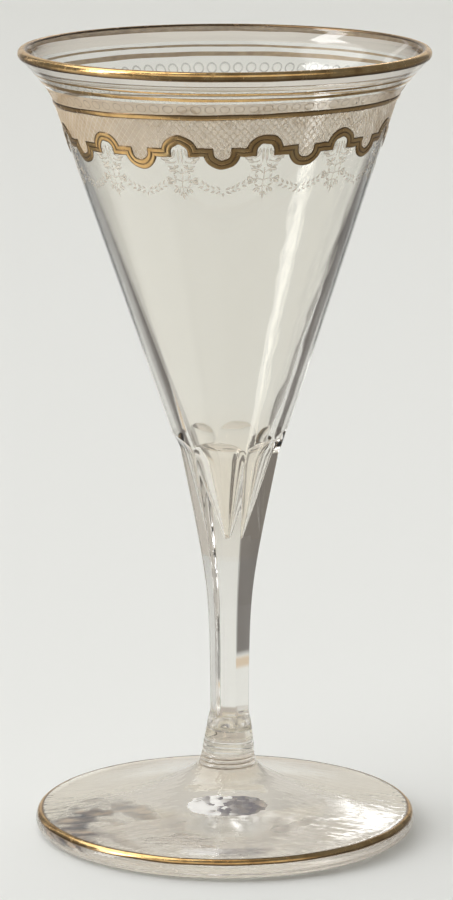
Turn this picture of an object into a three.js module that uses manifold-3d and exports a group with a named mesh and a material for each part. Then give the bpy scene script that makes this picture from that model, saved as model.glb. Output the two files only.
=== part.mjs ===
// Stemmed sherry glass: a conical bowl with a flared lip on a flat-cut hexagonal stem, a ringed
// collar and a round foot, with gilding at the lip, round the bowl and at the foot's edge.
// Millimetres, +Z up. The origin is the centre of the foot's underside, and -Y is the front.
// The glass pieces are stacked on flat seams, and the gilding lies a hair off the glass.

import * as THREE from 'three';
import { mergeVertices } from 'three/addons/utils/BufferGeometryUtils.js';
import Module from 'manifold-3d';

// Foot: a round disc that rises in a low, slightly hollow cone to a short neck under the collar
const footRadius = 30.75;
const footEdgeThickness = 3.3;
const footConeRise = 5.6;
const footConePower = 1.3;
const footNeckRise = 1.6;
const footNeckReach = 2.5;
const footSeatMargin = 0.25;
const pontilRadius = 6.0;
const pontilDepth = 0.4;

// Collar: a round neck over stepped rings that widen downwards
const collarNeckHeight = 2.4;
const collarNeckFlare = 0.3;
const collarRingCount = 3;
const collarRingHeight = 0.7;
const collarRingStep = 0.17;

// Stem: a round blank cut with flats that curve in to a waist and run out at both ends
const flatCount = 6;
const flatTurn = -12;
const stemLength = 30.0;
const stemFootRadius = 3.9;
const stemRootRadius = 3.2;
const stemRootHeight = 4.8;
const stemWaistApothem = 2.65;
const stemHollowHeight = 24.5;
const stemHollowSoftness = 7.5;
const flatRunoutRadius = 4.2;

// Bowl: a straight cone above the flats, with a lip that flares out at the top
const bowlBaseHeight = 17.0;
const coneFootRadius = 8.0;
const coneHeight = 56.8;
const coneTopRadius = 27.0;
const coneWall = 0.85;
const cavityTipCover = 3.4;
const cavityTipRadius = 0.6;
const flareHeight = 8.2;
const flareOverhang = 5.5;
const flareAngle = 45;
const lipThickness = 1.6;

// Gilding: a thin layer over the lip, three lines, a scalloped border and the foot's shoulder
const gildClearance = 0.06;
const gildThickness = 0.12;
const rimBandOutside = 0.2;
const rimBandInside = 0.15;
const upperLineDrop = 3.5;
const upperLineWidth = 0.4;
const middleLineDrop = 4.6;
const middleLineWidth = 0.75;
const lowerLineDrop = 7.8;
const lowerLineWidth = 0.95;
const borderRepeats = 12;
const borderTurn = -1;
const borderDrop = 13.4;
const borderWidth = 1.6;
const borderArcRadius = 2.1;
const footBandStart = 28;
const footBandEnd = 80;

// Facets of round pieces and steps along curves
const wideSides = 72;
const slimSides = 48;
const arcSteps = 4;
const flareSteps = 5;
const flatSteps = 8;
const footSteps = 8;
const scallopSteps = 8;
const cutMargin = 1.0;

// Heights and radii that follow from the sizes above
const footTop = footEdgeThickness + footConeRise + footNeckRise;
const collarRingTop = footTop + collarRingCount * collarRingHeight;
const collarTop = collarRingTop + collarNeckHeight;
const flatRoot = collarTop + stemRootHeight;
const bowlSeam = collarTop + stemLength;
const coneFoot = bowlSeam + bowlBaseHeight;
const coneTop = coneFoot + coneHeight;
const rimTop = coneTop + flareHeight;
const rimRadius = coneTopRadius + flareOverhang;
const collarNeckRadius = stemFootRadius + collarNeckFlare;
const collarFootRadius = collarNeckRadius + collarRingCount * collarRingStep;

const radians = THREE.MathUtils.degToRad;
const degrees = THREE.MathUtils.radToDeg;
const wasm = await Module();
wasm.setup();

const glass = new THREE.MeshStandardMaterial({ color: 0xd4d1c7, roughness: 0.03, metalness: 0 });
const gold = new THREE.MeshStandardMaterial({ color: 0xc89650, roughness: 0.25, metalness: 1 });

// A point of an outline: its distance from the axis and its height
function point(radius, height) {
  return new THREE.Vector2(radius, height);
}

// Turns an outline that runs anticlockwise about the Z axis, with its first facet edge at the front
function turned(outline, sides, startDegrees = 0) {
  const geometry = new THREE.LatheGeometry(outline, sides, radians(startDegrees), 2 * Math.PI);
  return geometry.rotateX(Math.PI / 2);
}

function solid(geometry) {
  geometry.deleteAttribute('normal');
  geometry.deleteAttribute('uv');
  const merged = mergeVertices(geometry);
  return new wasm.Manifold(new wasm.Mesh({
    numProp: 3,
    vertProperties: new Float32Array(merged.attributes.position.array),
    triVerts: new Uint32Array(merged.index.array),
  }));
}

function common(first, second) {
  const { vertProperties, triVerts } = solid(first).intersect(solid(second)).getMesh();
  const geometry = new THREE.BufferGeometry();
  geometry.setAttribute('position', new THREE.BufferAttribute(vertProperties, 3));
  geometry.setIndex(new THREE.BufferAttribute(triVerts, 1));
  return geometry;
}

function arc(centre, radius, start, end, steps = arcSteps) {
  const points = [];
  for (let i = 0; i <= steps; i += 1) {
    const angle = radians(start + (end - start) * i / steps);
    points.push(point(centre.x + radius * Math.cos(angle), centre.y + radius * Math.sin(angle)));
  }
  return points;
}

// Curve that leaves one point and reaches another along the given directions
function flareCurve(start, startDirection, end, endDirection) {
  const span = end.clone().sub(start);
  const reach = span.cross(endDirection) / startDirection.cross(endDirection);
  const corner = start.clone().addScaledVector(startDirection, reach);
  return new THREE.QuadraticBezierCurve(start, corner, end).getPoints(flareSteps);
}

// Outer wall of the bowl above the flats, from the foot of the cone to the underside of the lip
const lipRadius = lipThickness / 2;
const lipCentre = point(rimRadius - lipRadius, rimTop - lipRadius);
const lipDirection = point(Math.sin(radians(flareAngle)), Math.cos(radians(flareAngle)));
const lipArc = arc(lipCentre, lipRadius, -flareAngle, 180 - flareAngle);
const coneStart = point(coneFootRadius, coneFoot);
const coneEnd = point(coneTopRadius, coneTop);
const coneDirection = coneEnd.clone().sub(coneStart).normalize();
const outerWall = [coneStart, ...flareCurve(coneEnd, coneDirection, lipArc[0], lipDirection)];

// Cavity wall, from the inside of the lip down to a rounded tip on the axis
const cavityTip = bowlSeam + cavityTipCover;
const tipCentre = point(0, cavityTip + cavityTipRadius);
const cavityTop = point(coneTopRadius - coneWall, coneTop);
const cavitySpan = cavityTop.clone().sub(tipCentre);
const tipTilt = Math.asin(cavityTipRadius / cavitySpan.length());
const cavityTilt = Math.atan2(cavitySpan.x, cavitySpan.y) - tipTilt;
const cavityDirection = point(Math.sin(cavityTilt), Math.cos(cavityTilt));
const innerWall = [
  ...flareCurve(cavityTop, cavityDirection, lipArc[arcSteps], lipDirection).reverse(),
  ...arc(tipCentre, cavityTipRadius, -degrees(cavityTilt), -90).slice(0, -1),
  point(0, cavityTip),
];

// Distance of the stem's flats from the axis at a height: a hollow waist that opens into a straight
// slope, with the curved run-out of the cutting wheel below the root and above the cone's foot
function flatApothem(height) {
  const corner = Math.cos(Math.PI / flatCount);
  const hollow = collarTop + stemHollowHeight;
  const opening = (h) => h - hollow + Math.hypot(h - hollow, stemHollowSoftness);
  const slope = (coneFootRadius * corner - stemWaistApothem) / opening(coneFoot);
  const past = Math.max(0, height - coneFoot, flatRoot - height);
  const runout = flatRunoutRadius - Math.sqrt(Math.max(0, flatRunoutRadius ** 2 - past ** 2));
  return stemWaistApothem + slope * opening(height) + runout;
}

// Edge of a piece with flat sides, one point at each height, for a turned outline with that many sides
function flatEdge(heights) {
  return heights.map((h) => point(flatApothem(h) / Math.cos(Math.PI / flatCount), h));
}

function evenHeights(low, high) {
  return Array.from({ length: flatSteps + 1 }, (_, i) => low + (high - low) * i / flatSteps);
}

function runoutHeights(start, direction) {
  const steps = Array.from({ length: arcSteps }, (_, i) => 90 * (i + 1) / arcSteps);
  return steps.map((angle) => start + direction * flatRunoutRadius * Math.sin(radians(angle)));
}

function flatSided(outline) {
  return turned(outline, flatCount, flatTurn - 180 / flatCount);
}

function bowlGeometry() {
  const blank = turned([
    point(0, bowlSeam - cutMargin),
    point(coneFootRadius, bowlSeam - cutMargin),
    ...outerWall,
    ...lipArc.slice(1),
    ...innerWall.slice(1),
  ], wideSides);
  const clearRadius = rimRadius * 2;
  const runoutTop = coneFoot + flatRunoutRadius;
  const cutter = flatSided([
    point(0, bowlSeam),
    ...flatEdge([...evenHeights(bowlSeam, coneFoot), ...runoutHeights(coneFoot, 1)]),
    point(clearRadius, runoutTop),
    point(clearRadius, rimTop + cutMargin),
    point(0, rimTop + cutMargin),
  ]);
  return common(blank, cutter);
}

function stemGeometry() {
  const blank = turned([
    point(0, collarTop),
    point(stemFootRadius, collarTop),
    point(stemRootRadius, flatRoot),
    point(coneFootRadius, bowlSeam + cutMargin),
    point(0, bowlSeam + cutMargin),
  ], slimSides);
  const runout = runoutHeights(flatRoot, -1).reverse();
  const edge = flatEdge([...runout, ...evenHeights(flatRoot, bowlSeam)]);
  const cutter = flatSided([
    point(0, collarTop - cutMargin),
    point(edge[0].x, collarTop - cutMargin),
    ...edge,
    point(0, bowlSeam),
  ]);
  return common(blank, cutter);
}

function collarGeometry() {
  const outline = [point(0, footTop)];
  for (let ring = 0; ring < collarRingCount; ring += 1) {
    const radius = collarFootRadius - ring * collarRingStep;
    const low = footTop + ring * collarRingHeight;
    outline.push(point(radius, low), point(radius, low + collarRingHeight - collarRingStep));
  }
  outline.push(point(collarNeckRadius, collarRingTop), point(stemFootRadius, collarTop));
  outline.push(point(0, collarTop));
  return turned(outline, slimSides);
}

// Foot's rounded edge, and its upper surface from the edge inwards to the collar's seat
const footEdgeRadius = footEdgeThickness / 2;
const footEdgeCentre = point(footRadius - footEdgeRadius, footEdgeRadius);

function footTopSurface() {
  const seat = collarFootRadius + footSeatMargin;
  const width = footEdgeCentre.x - seat;
  const neck = (out) => Math.exp(-out / footNeckReach) - Math.exp(-width / footNeckReach);
  const points = [];
  for (let i = 1; i <= footSteps; i += 1) {
    const out = width * (1 - i / footSteps) ** 2;
    const cone = footConeRise * (1 - out / width) ** footConePower;
    const rise = cone + footNeckRise * neck(out) / neck(0);
    points.push(point(seat + out, footEdgeThickness + rise));
  }
  return points;
}

function footGeometry() {
  const pontilCurve = (pontilRadius ** 2 + pontilDepth ** 2) / (2 * pontilDepth);
  const pontilTurn = degrees(Math.asin(pontilRadius / pontilCurve));
  const pontilCentre = point(0, pontilDepth - pontilCurve);
  return turned([
    point(0, pontilDepth),
    ...arc(pontilCentre, pontilCurve, 90, 90 - pontilTurn).slice(1),
    ...arc(footEdgeCentre, footEdgeRadius, -90, 90),
    ...footTopSurface(),
    point(0, footTop),
  ], wideSides);
}

// Place and outward direction on the bowl's outer wall at a height
function wallAt(height) {
  const next = Math.max(1, outerWall.findIndex((p) => p.y >= height));
  const [low, high] = [outerWall[next - 1], outerWall[next]];
  const along = high.clone().sub(low);
  const place = low.clone().addScaledVector(along, (height - low.y) / along.y);
  const outward = point(along.y, -along.x).normalize();
  return { place, outward };
}

function lifted({ place, outward }, lift) {
  return place.clone().addScaledVector(outward, lift);
}

const gildTop = gildClearance + gildThickness;

// Closed outline of a gilt layer that covers a run of places on the glass
function layerOutline(places) {
  const top = places.map((p) => lifted(p, gildTop));
  const under = places.map((p) => lifted(p, gildClearance)).reverse();
  return [...top, ...under, top[0]];
}

function wallLine(drop, width) {
  const height = rimTop - drop;
  const { outward } = wallAt(height);
  const half = outward.x * width / 2;
  return turned(layerOutline([wallAt(height - half), wallAt(height + half)]), wideSides);
}

function rimBandGeometry() {
  const lip = lipArc.map((place) => ({ place, outward: place.clone().sub(lipCentre).normalize() }));
  const { outward } = lip[arcSteps];
  const inside = lip[arcSteps].place.clone().addScaledVector(lipDirection, -rimBandInside);
  const outside = wallAt(lipArc[0].y - rimBandOutside * lipDirection.y);
  return turned(layerOutline([outside, ...lip, { place: inside, outward }]), wideSides);
}

function footBandGeometry() {
  const places = arc(footEdgeCentre, footEdgeRadius, footBandStart, footBandEnd);
  const shoulder = places.map((place) => (
    { place, outward: place.clone().sub(footEdgeCentre).normalize() }));
  return turned(layerOutline(shoulder), wideSides);
}

// Centre line of the scalloped border, unrolled: round lobes that hang down and round arches
// that stand up in turn, joined by straight shelves
function scallopLine(period) {
  const lobe = arc(point(0, 0), borderArcRadius, 180, 360, scallopSteps);
  const arch = arc(point(period / 2, 0), borderArcRadius, 180, 0, scallopSteps);
  const line = [];
  for (let repeat = 0; repeat < borderRepeats; repeat += 1) {
    const shift = point(repeat * period, 0);
    line.push(...[...lobe, ...arch].map((p) => p.clone().add(shift)));
  }
  return line;
}

// Sideways step from the centre line to the border's upper edge, mitred at corners
function mitre(before, here, after) {
  const arriving = here.clone().sub(before).normalize();
  const leaving = after.clone().sub(here).normalize();
  const side = point(-arriving.y - leaving.y, arriving.x + leaving.x).normalize();
  return side.multiplyScalar(borderWidth / 2 / side.dot(point(-arriving.y, arriving.x)));
}

// Wraps the border round the bowl as one closed ring of four-cornered sections
function borderGeometry() {
  const shelf = rimTop - borderDrop;
  const shelfWall = wallAt(shelf);
  const girth = 2 * Math.PI * shelfWall.place.x;
  const line = scallopLine(girth / borderRepeats);
  const onBowl = (flat, lift) => {
    const at = lifted(wallAt(shelf + flat.y * shelfWall.outward.x), lift);
    const angle = radians(borderTurn) + flat.x / shelfWall.place.x;
    return [at.x * Math.sin(angle), -at.x * Math.cos(angle), at.y];
  };
  const positions = [];
  const faces = [];
  const count = line.length;
  const turn = point(girth, 0);
  line.forEach((here, i) => {
    const before = i > 0 ? line[i - 1] : line[count - 1].clone().sub(turn);
    const after = i < count - 1 ? line[i + 1] : line[0].clone().add(turn);
    const step = mitre(before, here, after);
    const upper = here.clone().add(step);
    const lower = here.clone().sub(step);
    positions.push(...onBowl(upper, gildClearance), ...onBowl(lower, gildClearance));
    positions.push(...onBowl(lower, gildTop), ...onBowl(upper, gildTop));
    for (let corner = 0; corner < 4; corner += 1) {
      const [a, b] = [i * 4 + corner, i * 4 + (corner + 1) % 4];
      const [c, d] = [b, a].map((vertex) => (vertex + 4) % (count * 4));
      faces.push(a, d, c, a, c, b);
    }
  });
  const geometry = new THREE.BufferGeometry();
  geometry.setAttribute('position', new THREE.Float32BufferAttribute(positions, 3));
  geometry.setIndex(faces);
  return geometry;
}

function piece(name, geometry, material) {
  const mesh = new THREE.Mesh(geometry, material);
  mesh.name = name;
  return mesh;
}

const glassBody = new THREE.Group();
glassBody.add(
  piece('foot', footGeometry(), glass),
  piece('stem_collar', collarGeometry(), glass),
  piece('stem', stemGeometry(), glass),
  piece('bowl', bowlGeometry(), glass),
);

const gilding = new THREE.Group();
gilding.add(
  piece('rim_gilding', rimBandGeometry(), gold),
  piece('upper_gilt_line', wallLine(upperLineDrop, upperLineWidth), gold),
  piece('middle_gilt_line', wallLine(middleLineDrop, middleLineWidth), gold),
  piece('lower_gilt_line', wallLine(lowerLineDrop, lowerLineWidth), gold),
  piece('scalloped_gilt_border', borderGeometry(), gold),
  piece('foot_gilding', footBandGeometry(), gold),
);

const sherryGlass = new THREE.Group();
sherryGlass.add(glassBody, gilding);

export default sherryGlass;
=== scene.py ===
"""Looks of the sherry glass: clear glass body, fired gold and etched ornament, on a pale floor.

Shapes are worked out in millimetres, with +Z up and the front at -Y, and turned into metres when a
mesh is made. An angle on the glass is in radians from the front, and grows to the viewer's right.
"""

import random
from math import acos, asin, atan, atan2, copysign, cos, exp, hypot, pi, radians, sin, sqrt, tau

import bmesh
import bpy
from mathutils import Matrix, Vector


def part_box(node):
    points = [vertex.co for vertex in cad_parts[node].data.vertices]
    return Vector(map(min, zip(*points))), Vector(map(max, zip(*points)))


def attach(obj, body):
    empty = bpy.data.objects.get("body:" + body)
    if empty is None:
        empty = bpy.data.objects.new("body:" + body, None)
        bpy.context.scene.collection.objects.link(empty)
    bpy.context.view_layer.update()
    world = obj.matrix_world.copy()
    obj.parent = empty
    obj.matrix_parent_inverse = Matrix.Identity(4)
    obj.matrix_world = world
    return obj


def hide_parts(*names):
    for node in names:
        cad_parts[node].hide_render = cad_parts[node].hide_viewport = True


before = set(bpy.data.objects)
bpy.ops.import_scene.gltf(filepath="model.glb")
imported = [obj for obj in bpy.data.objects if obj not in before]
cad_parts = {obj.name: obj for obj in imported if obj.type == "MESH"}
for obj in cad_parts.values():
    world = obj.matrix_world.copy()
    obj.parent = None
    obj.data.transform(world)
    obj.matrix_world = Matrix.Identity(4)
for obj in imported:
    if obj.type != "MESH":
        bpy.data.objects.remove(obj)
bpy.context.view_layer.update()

MM = 0.001


def span(node):
    """Lowest and highest corner of a CAD node, in millimetres."""
    low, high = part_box(node)
    return low / MM, high / MM


# Heights and radii of the frame
FOOT_RADIUS = span("foot")[1].x
FOOT_TOP = span("foot")[1].z
COLLAR_FOOT_RADIUS = span("stem_collar")[1].x
COLLAR_TOP = span("stem_collar")[1].z
BOWL_SEAM = span("bowl")[0].z
RIM_RADIUS = span("bowl")[1].x
RIM_TOP = span("bowl")[1].z

# Foot
FOOT_EDGE_RADIUS = 1.65
FOOT_EDGE_CENTRE = (FOOT_RADIUS - FOOT_EDGE_RADIUS, FOOT_EDGE_RADIUS)
FOOT_CONE_RISE = 5.6
FOOT_CONE_POWER = 1.3
FOOT_NECK_REACH = 2.5
FOOT_SEAT_MARGIN = 0.25
PONTIL_RADIUS = 6.0
PONTIL_DEPTH = 0.4
SCAR_CENTRE = (0.3, -4.4)
SCAR_RADII = (5.7, 4.3)
SCAR_LUMPS = 0.22
# Dark patches under the foot, painted reflections of dark surroundings that also glow: middle, half
# length, half width, turn in degrees and density
DARK_REFLECTION_PATCHES = [
    (-23.5, -11, 12, 6.5, 75, 1.0),
    (-15, -4, 8.5, 2.4, -42, 0.75),
    (-19, 1, 5, 1.2, -20, 0.5),
    (12.5, -10, 6.5, 1.6, 40, 0.4),
]
# Stretch of wavy lines under the foot, painted reflections like the patches, given like a patch without
# its density
WAVY_REFLECTION_LINES = (-7, -18.5, 11, 4.5, -8)
# Ripples on top of the foot, which fade out towards the neck and the edge
FOOT_WAVE = 0.03
FOOT_WAVE_FADE = (6.0, 3.0)

# Collar
RING_COUNT = 3
RING_HEIGHT = 0.7
RING_STEP = 0.17
RING_GROOVE = 0.12
GROOVE_SHARE = 0.3
NECK_BULGE = 0.06

# Flats of the stem and the bowl's base
FLAT_COUNT = 6
FLAT_TURN = radians(-12)
STEM_FOOT_RADIUS = 3.9
STEM_ROOT_RADIUS = 3.2
STEM_ROOT_HEIGHT = 4.8
WAIST_APOTHEM = 2.65
HOLLOW_HEIGHT = 24.5
HOLLOW_SOFTNESS = 7.5
RUNOUT_RADIUS = 4.2
EDGE_SOFTNESS = 0.16

# Bowl
BASE_HEIGHT = 17.0
FLARE_HEIGHT = 8.2
FLARE_OVERHANG = 5.5
CONE_FOOT = BOWL_SEAM + BASE_HEIGHT
CONE_FOOT_RADIUS = 8.0
CONE_TOP = RIM_TOP - FLARE_HEIGHT
CONE_TOP_RADIUS = RIM_RADIUS - FLARE_OVERHANG
CONE_WALL = 0.85
TIP_COVER = 3.4
TIP_RADIUS = 0.6
FLARE_ANGLE = radians(45)
LIP_RADIUS = 0.8
LIP_BEAD_POWER = 8

# Gilding. Painted shade darkens it between two shares of the way from a line's middle to its edge
GOLD_RELIEF = 0.17
GOLD_SINK = 0.03
EDGE_SHADE_SPAN = (0.35, 0.85)
# Drop of each line below the rim, its width and its relief
GOLD_LINES = {
    "upper_gilt_line": (3.5, 0.42, 0.02),
    "middle_gilt_line": (4.6, 0.75, 0.025),
    "lower_gilt_line": (7.8, 0.95, GOLD_RELIEF),
}
RIM_GOLD_RELIEF = 0.1
FOOT_GOLD_RELIEF = 0.12
FOOT_BAND = (radians(28), radians(73))
BORDER_REPEATS = 12
BORDER_TURN = radians(-1)
BORDER_DROP = 13.4
BORDER_WIDTH = 1.6
BORDER_ARC = 2.1
BORDER_RIDGE = 0.27 * BORDER_WIDTH
GROOVE_LIFT = 0.02

# Etched ornament
ETCH_RELIEF = 0.025
ETCH_SINK = 0.015
CHAIN_RINGS = 80
CHAIN_RADIUS = 0.76
CHAIN_DROP = 6.4
CHAIN_STROKE = 0.26
TRELLIS_LINES = 144
TRELLIS_STROKE = 0.2
TRELLIS_LEAN = 0.8
TRELLIS_STEP = 0.25
# Small ring over each lobe: height, radius and stroke
LOBE_RING = (-0.35, 0.5, 0.22)
GROUND_LIFT = 0.008
GROUND_SINK = 0.01
LEAST_STROKE = 0.04
LEAF_WIDTH = 0.4
# Sprays and swags, with heights over the border's shelf
SPRAY_STEM = (-2.7, -7.2)
SPRAY_STEM_STROKE = 0.2
SPRAY_STEM_WAVE = 0.1
SPRAY_TIP = -7.0
SWAG_GAP = 2.6
SWAG_LOW = -6.6
SWAG_RISE = 1.5
SWAG_STEPS = 9
SWAG_SPLIT = 0.12

# Columns round the glass: each flat has as many on its flat part as the share says
HALF_FLAT_COLUMNS = 30
FLAT_SHARE = 0.6
HALF_FLAT = pi / FLAT_COUNT
COLUMNS = 2 * HALF_FLAT_COLUMNS * FLAT_COUNT
GOLD_COLUMNS = 360
GOLD_ANGLES = [tau * i / GOLD_COLUMNS for i in range(GOLD_COLUMNS)]
RELAX = 2.0
# Power by which the rings on top of the foot crowd towards its neck
FOOT_RING_CROWDING = 1.4

# Angles of faces, in degrees, past which an edge stays sharp
GLASS_CREASE = 35
GOLD_CREASE = 50
BORDER_CREASE = 40
MERGE_DISTANCE = 2e-7

# Unevenness of the handwork: the stem stands a little to the right, and the painted and etched
# bands on the bowl lean down towards the left and the back
SWAY = 0.75
SWAY_FULL = 20.0
SWAY_FADE = (55.0, 127.0)
BAND_LEAN = 0.7
BAND_LOW = radians(-130)
BAND_LEAN_DROP = (3.5, 7.5)
# Rippled stretch of the bowl: its middle, half width and softness, in degrees from the front
RIPPLED_SIDE = (30, 30, 20)
# Heights over which the ripple ends below the flare and the tint of the base at the cone's foot
RIPPLE_FADE = 20.0
BASE_TINT_FADE = (-2.0, 8.0)

# Camera
CAMERA_PLACE = (0.00027, -0.7002, 0.21179)
CAMERA_PITCH = radians(12.048)
CAMERA_LENS = 178.86

rng = random.Random(5)


def smooth(t):
    t = min(1, max(0, t))
    return t * t * (3 - 2 * t)


def soft_least(values, softness):
    """Least of the values, rounded off where two of them cross."""
    least, *others = sorted(values)
    for other in others:
        close = max(0, 1 - (other - least) / softness)
        least -= close * close * softness / 4
    return least


def evenly(low, high, steps):
    return [low + (high - low) * i / steps for i in range(steps + 1)]


def stations(start, *stretches):
    """Values from a start through stretches, each given by its end and its number of steps."""
    values = [start]
    for end, steps in stretches:
        values += evenly(start, end, steps)[1:]
        start = end
    return values


def unit(x, y):
    size = hypot(x, y)
    return x / size, y / size


def round_place(radius, angle, height):
    return (radius * sin(angle), -radius * cos(angle), height)


def arc(centre, radius, start, end, steps):
    return [(centre[0] + radius * cos(a), centre[1] + radius * sin(a))
            for a in evenly(start, end, steps)]


def tangent_curve(start, start_way, end, end_way, steps):
    """Quadratic curve between two points that follows the given directions at its ends."""
    cross = start_way[0] * end_way[1] - start_way[1] * end_way[0]
    reach = ((end[0] - start[0]) * end_way[1] - (end[1] - start[1]) * end_way[0]) / cross
    corner = (start[0] + reach * start_way[0], start[1] + reach * start_way[1])
    points = []
    for t in evenly(0, 1, steps):
        a, b, c = (1 - t) ** 2, 2 * t * (1 - t), t * t
        points.append(tuple(a * p + b * q + c * r for p, q, r in zip(start, corner, end)))
    return points


def find(rule, low, high):
    """Height between low and high at which the rule changes sign."""
    rising = rule(high) > 0
    for _ in range(60):
        middle = (low + high) / 2
        if (rule(middle) > 0) == rising:
            high = middle
        else:
            low = middle
    return (low + high) / 2


# Bowl's walls
CONE_WAY = unit(CONE_TOP_RADIUS - CONE_FOOT_RADIUS, CONE_TOP - CONE_FOOT)
LIP_WAY = (sin(FLARE_ANGLE), cos(FLARE_ANGLE))
LIP_CENTRE = (RIM_RADIUS - LIP_RADIUS, RIM_TOP - LIP_RADIUS)
LIP_ARC = arc(LIP_CENTRE, LIP_RADIUS, -FLARE_ANGLE, pi - FLARE_ANGLE, 20)
FLARE = tangent_curve((CONE_TOP_RADIUS, CONE_TOP), CONE_WAY, LIP_ARC[0], LIP_WAY, 60)


def inner_flare():
    """Inside of the flare, at an even distance from its outside up to the thicker lip."""
    points = []
    for i, here in enumerate(FLARE):
        before, after = FLARE[max(0, i - 1)], FLARE[min(len(FLARE) - 1, i + 1)]
        run, rise = unit(after[0] - before[0], after[1] - before[1])
        share = (i / (len(FLARE) - 1)) ** LIP_BEAD_POWER
        wall = CONE_WALL * CONE_WAY[1] * (1 - share) + 2 * LIP_RADIUS * share
        points.append((here[0] - wall * rise, here[1] + wall * run))
    return points


def cone_radius(z):
    return CONE_FOOT_RADIUS + (z - CONE_FOOT) * CONE_WAY[0] / CONE_WAY[1]


def wall_at(z):
    """Radius of the bowl's outer wall at a height, with its outward direction."""
    if z <= CONE_TOP:
        return cone_radius(z), (CONE_WAY[1], -CONE_WAY[0])
    after = next((i for i, p in enumerate(FLARE) if p[1] >= z), len(FLARE) - 1)
    low, high = FLARE[after - 1], FLARE[after]
    share = (z - low[1]) / (high[1] - low[1])
    run, rise = unit(high[0] - low[0], high[1] - low[1])
    return low[0] + share * (high[0] - low[0]), (rise, -run)


def wall_place(angle, z, lift):
    """Place of a painted or etched point over the bowl's outer wall."""
    low, high = BAND_LEAN_DROP
    z -= BAND_LEAN * cos(angle - BAND_LOW) * smooth((RIM_TOP - z - low) / (high - low))
    radius, outward = wall_at(z)
    return round_place(radius + lift * outward[0], angle, z + lift * outward[1])


# Flats
FLAT_ROOT = COLLAR_TOP + STEM_ROOT_HEIGHT
HOLLOW = COLLAR_TOP + HOLLOW_HEIGHT


def opening(z):
    return z - HOLLOW + hypot(z - HOLLOW, HOLLOW_SOFTNESS)


FLAT_SLOPE = (CONE_FOOT_RADIUS * cos(HALF_FLAT) - WAIST_APOTHEM) / opening(CONE_FOOT)


def flat_apothem(z):
    """Distance of the flats from the axis, with the cutting wheel's run-out at both ends."""
    past = min(RUNOUT_RADIUS, max(0, z - CONE_FOOT, FLAT_ROOT - z))
    runout = RUNOUT_RADIUS - sqrt(RUNOUT_RADIUS ** 2 - past ** 2)
    return WAIST_APOTHEM + FLAT_SLOPE * opening(z) + runout


def stem_blank(z):
    share = (z - COLLAR_TOP) / STEM_ROOT_HEIGHT
    return STEM_FOOT_RADIUS + (STEM_ROOT_RADIUS - STEM_FOOT_RADIUS) * min(1, share)


ARCH_TOP = find(lambda z: flat_apothem(z) - cone_radius(z), CONE_FOOT, CONE_FOOT + RUNOUT_RADIUS)
ROOT_END = find(lambda z: flat_apothem(z) - stem_blank(z), COLLAR_TOP, FLAT_ROOT)
ROOT_FULL = find(lambda z: flat_apothem(z) / cos(HALF_FLAT) - stem_blank(z), COLLAR_TOP, FLAT_ROOT)


def flat_ring(z, blank, zone):
    """Ring of points round the flats, with columns on the crease between flat and round blank.

    The crease runs within the zone of heights, and the columns even out past it."""
    apothem = flat_apothem(z)
    lean = min(HALF_FLAT, acos(min(1, apothem / blank)))
    beyond = smooth(max(0, zone[0] - z, z - zone[1]) / RELAX)
    crease = lean + (FLAT_SHARE * HALF_FLAT - lean) * beyond
    ring = []
    for sector in range(FLAT_COUNT):
        middle = FLAT_TURN + sector * 2 * HALF_FLAT
        for column in range(-HALF_FLAT_COLUMNS, HALF_FLAT_COLUMNS):
            share = abs(column) / HALF_FLAT_COLUMNS
            if share <= FLAT_SHARE:
                turn = crease * share / FLAT_SHARE
            else:
                turn = crease + (HALF_FLAT - crease) * (share - FLAT_SHARE) / (1 - FLAT_SHARE)
            next_flat = apothem / cos(2 * HALF_FLAT - turn)
            radius = soft_least((blank, apothem / cos(turn), next_flat), EDGE_SOFTNESS)
            ring.append(round_place(radius, middle + copysign(turn, column), z))
    return ring


def round_ring(radius, z):
    start = FLAT_TURN - HALF_FLAT
    return [round_place(radius, start + tau * i / COLUMNS, z) for i in range(COLUMNS)]


# Making meshes
def sway(z):
    fade = smooth((z - SWAY_FADE[0]) / (SWAY_FADE[1] - SWAY_FADE[0]))
    return SWAY * smooth(z / SWAY_FULL) * (1 - fade)


def make_piece(name, points, faces, materials, *listed_faces, sharp=None, edges=()):
    """Closed mesh piece that rides on the part's only body.

    The lists of faces take the second material and those after it. The edges tell for each point
    how much painted shade darkens it near the edge of its line of gold."""
    mesh = bpy.data.meshes.new(name)
    mesh.from_pydata([((x + sway(z)) * MM, y * MM, z * MM) for x, y, z in points], [], faces)
    for material in materials:
        mesh.materials.append(material)
    for index, listed in enumerate(listed_faces, 1):
        for face in listed:
            mesh.polygons[face].material_index = index
    if edges:
        mesh.attributes.new("edge", "FLOAT", "POINT").data.foreach_set("value", edges)
    work = bmesh.new()
    work.from_mesh(mesh)
    bmesh.ops.remove_doubles(work, verts=work.verts, dist=MERGE_DISTANCE)
    bmesh.ops.recalc_face_normals(work, faces=work.faces)
    work.to_mesh(mesh)
    work.free()
    mesh.shade_smooth()
    if sharp:
        mesh.set_sharp_from_angle(angle=radians(sharp))
    piece = bpy.data.objects.new(name, mesh)
    bpy.context.scene.collection.objects.link(piece)
    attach(piece, "root")
    return piece


def skin(rings, closed):
    """Points and faces of rings joined in turn. A closed skin joins its last ring to its first."""
    points = [p for ring in rings for p in ring]
    count = len(rings[0])
    faces = []
    for row in range(len(rings) if closed else len(rings) - 1):
        here, there = row * count, (row + 1) % len(rings) * count
        for i in range(count):
            j = (i + 1) % count
            faces.append((here + i, here + j, there + j, there + i))
    return points, faces


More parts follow.
